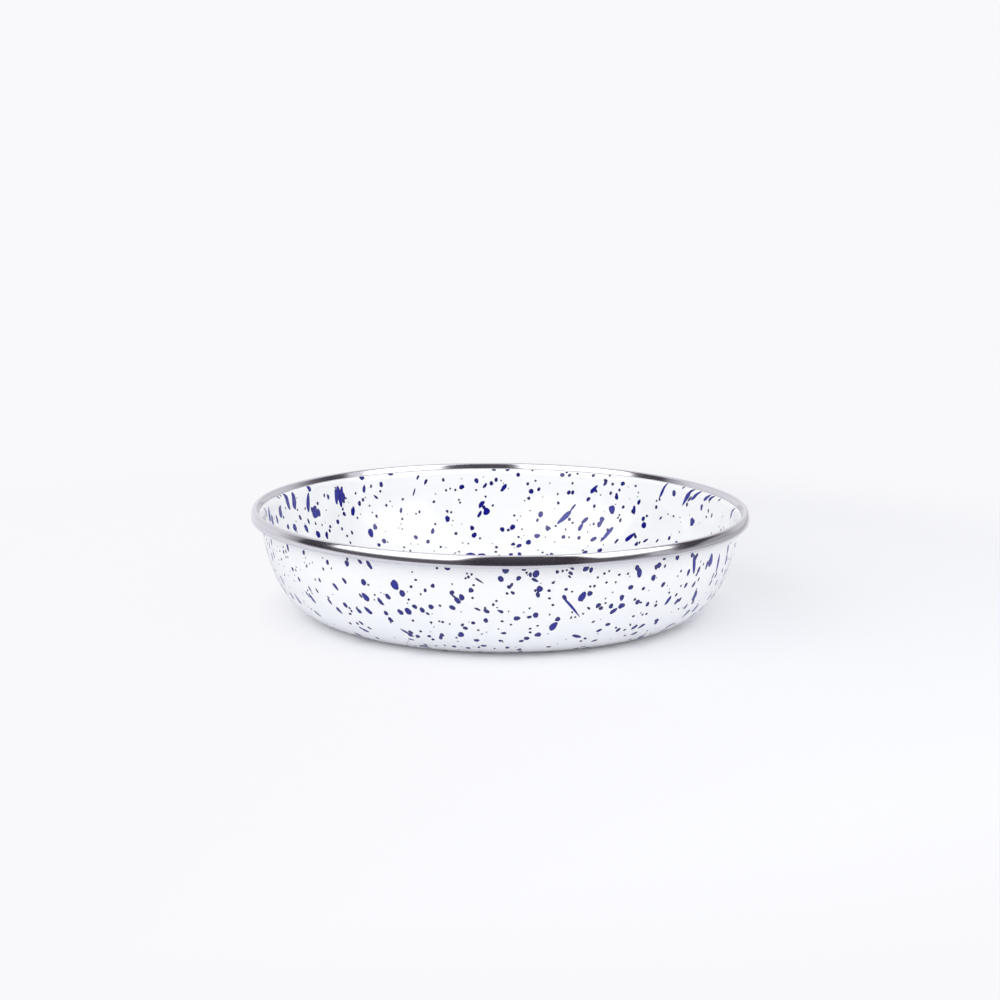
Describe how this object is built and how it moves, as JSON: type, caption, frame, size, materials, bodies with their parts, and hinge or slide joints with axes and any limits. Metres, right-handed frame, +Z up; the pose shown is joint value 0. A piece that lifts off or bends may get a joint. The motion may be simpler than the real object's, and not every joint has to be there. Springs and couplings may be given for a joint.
{
  "type": "bowl",
  "caption": "Low round open bowl of pressed steel, white enamelled with blue flecks, with a flat base, curved wall and a rolled steel rim.",
  "frame": {"origin": "on the table, under the middle of the bowl", "axes": "+Z up along the bowl's axis, out of its mouth"},
  "size_m": [0.26, 0.26, 0.0555],
  "materials": {
    "sheet_steel": "matt mill finish, hidden under the enamel",
    "ground_enamel": "dark fired ground coat, hidden",
    "white_enamel": "glossy fired white enamel with a faint ripple",
    "blue_enamel": "glossy fired blue enamel, flung on in flecks and streaks",
    "rim_steel": "polished stainless strip"
  },
  "bodies": {
    "root": {"steel_shell": "sheet_steel", "ground_coat": "ground_enamel", "white_coat_outside": "white_enamel", "white_coat_inside": "white_enamel", "splatter_outside": "blue_enamel", "splatter_inside": "blue_enamel", "rim_band": "rim_steel"}
  },
  "joints": []
}
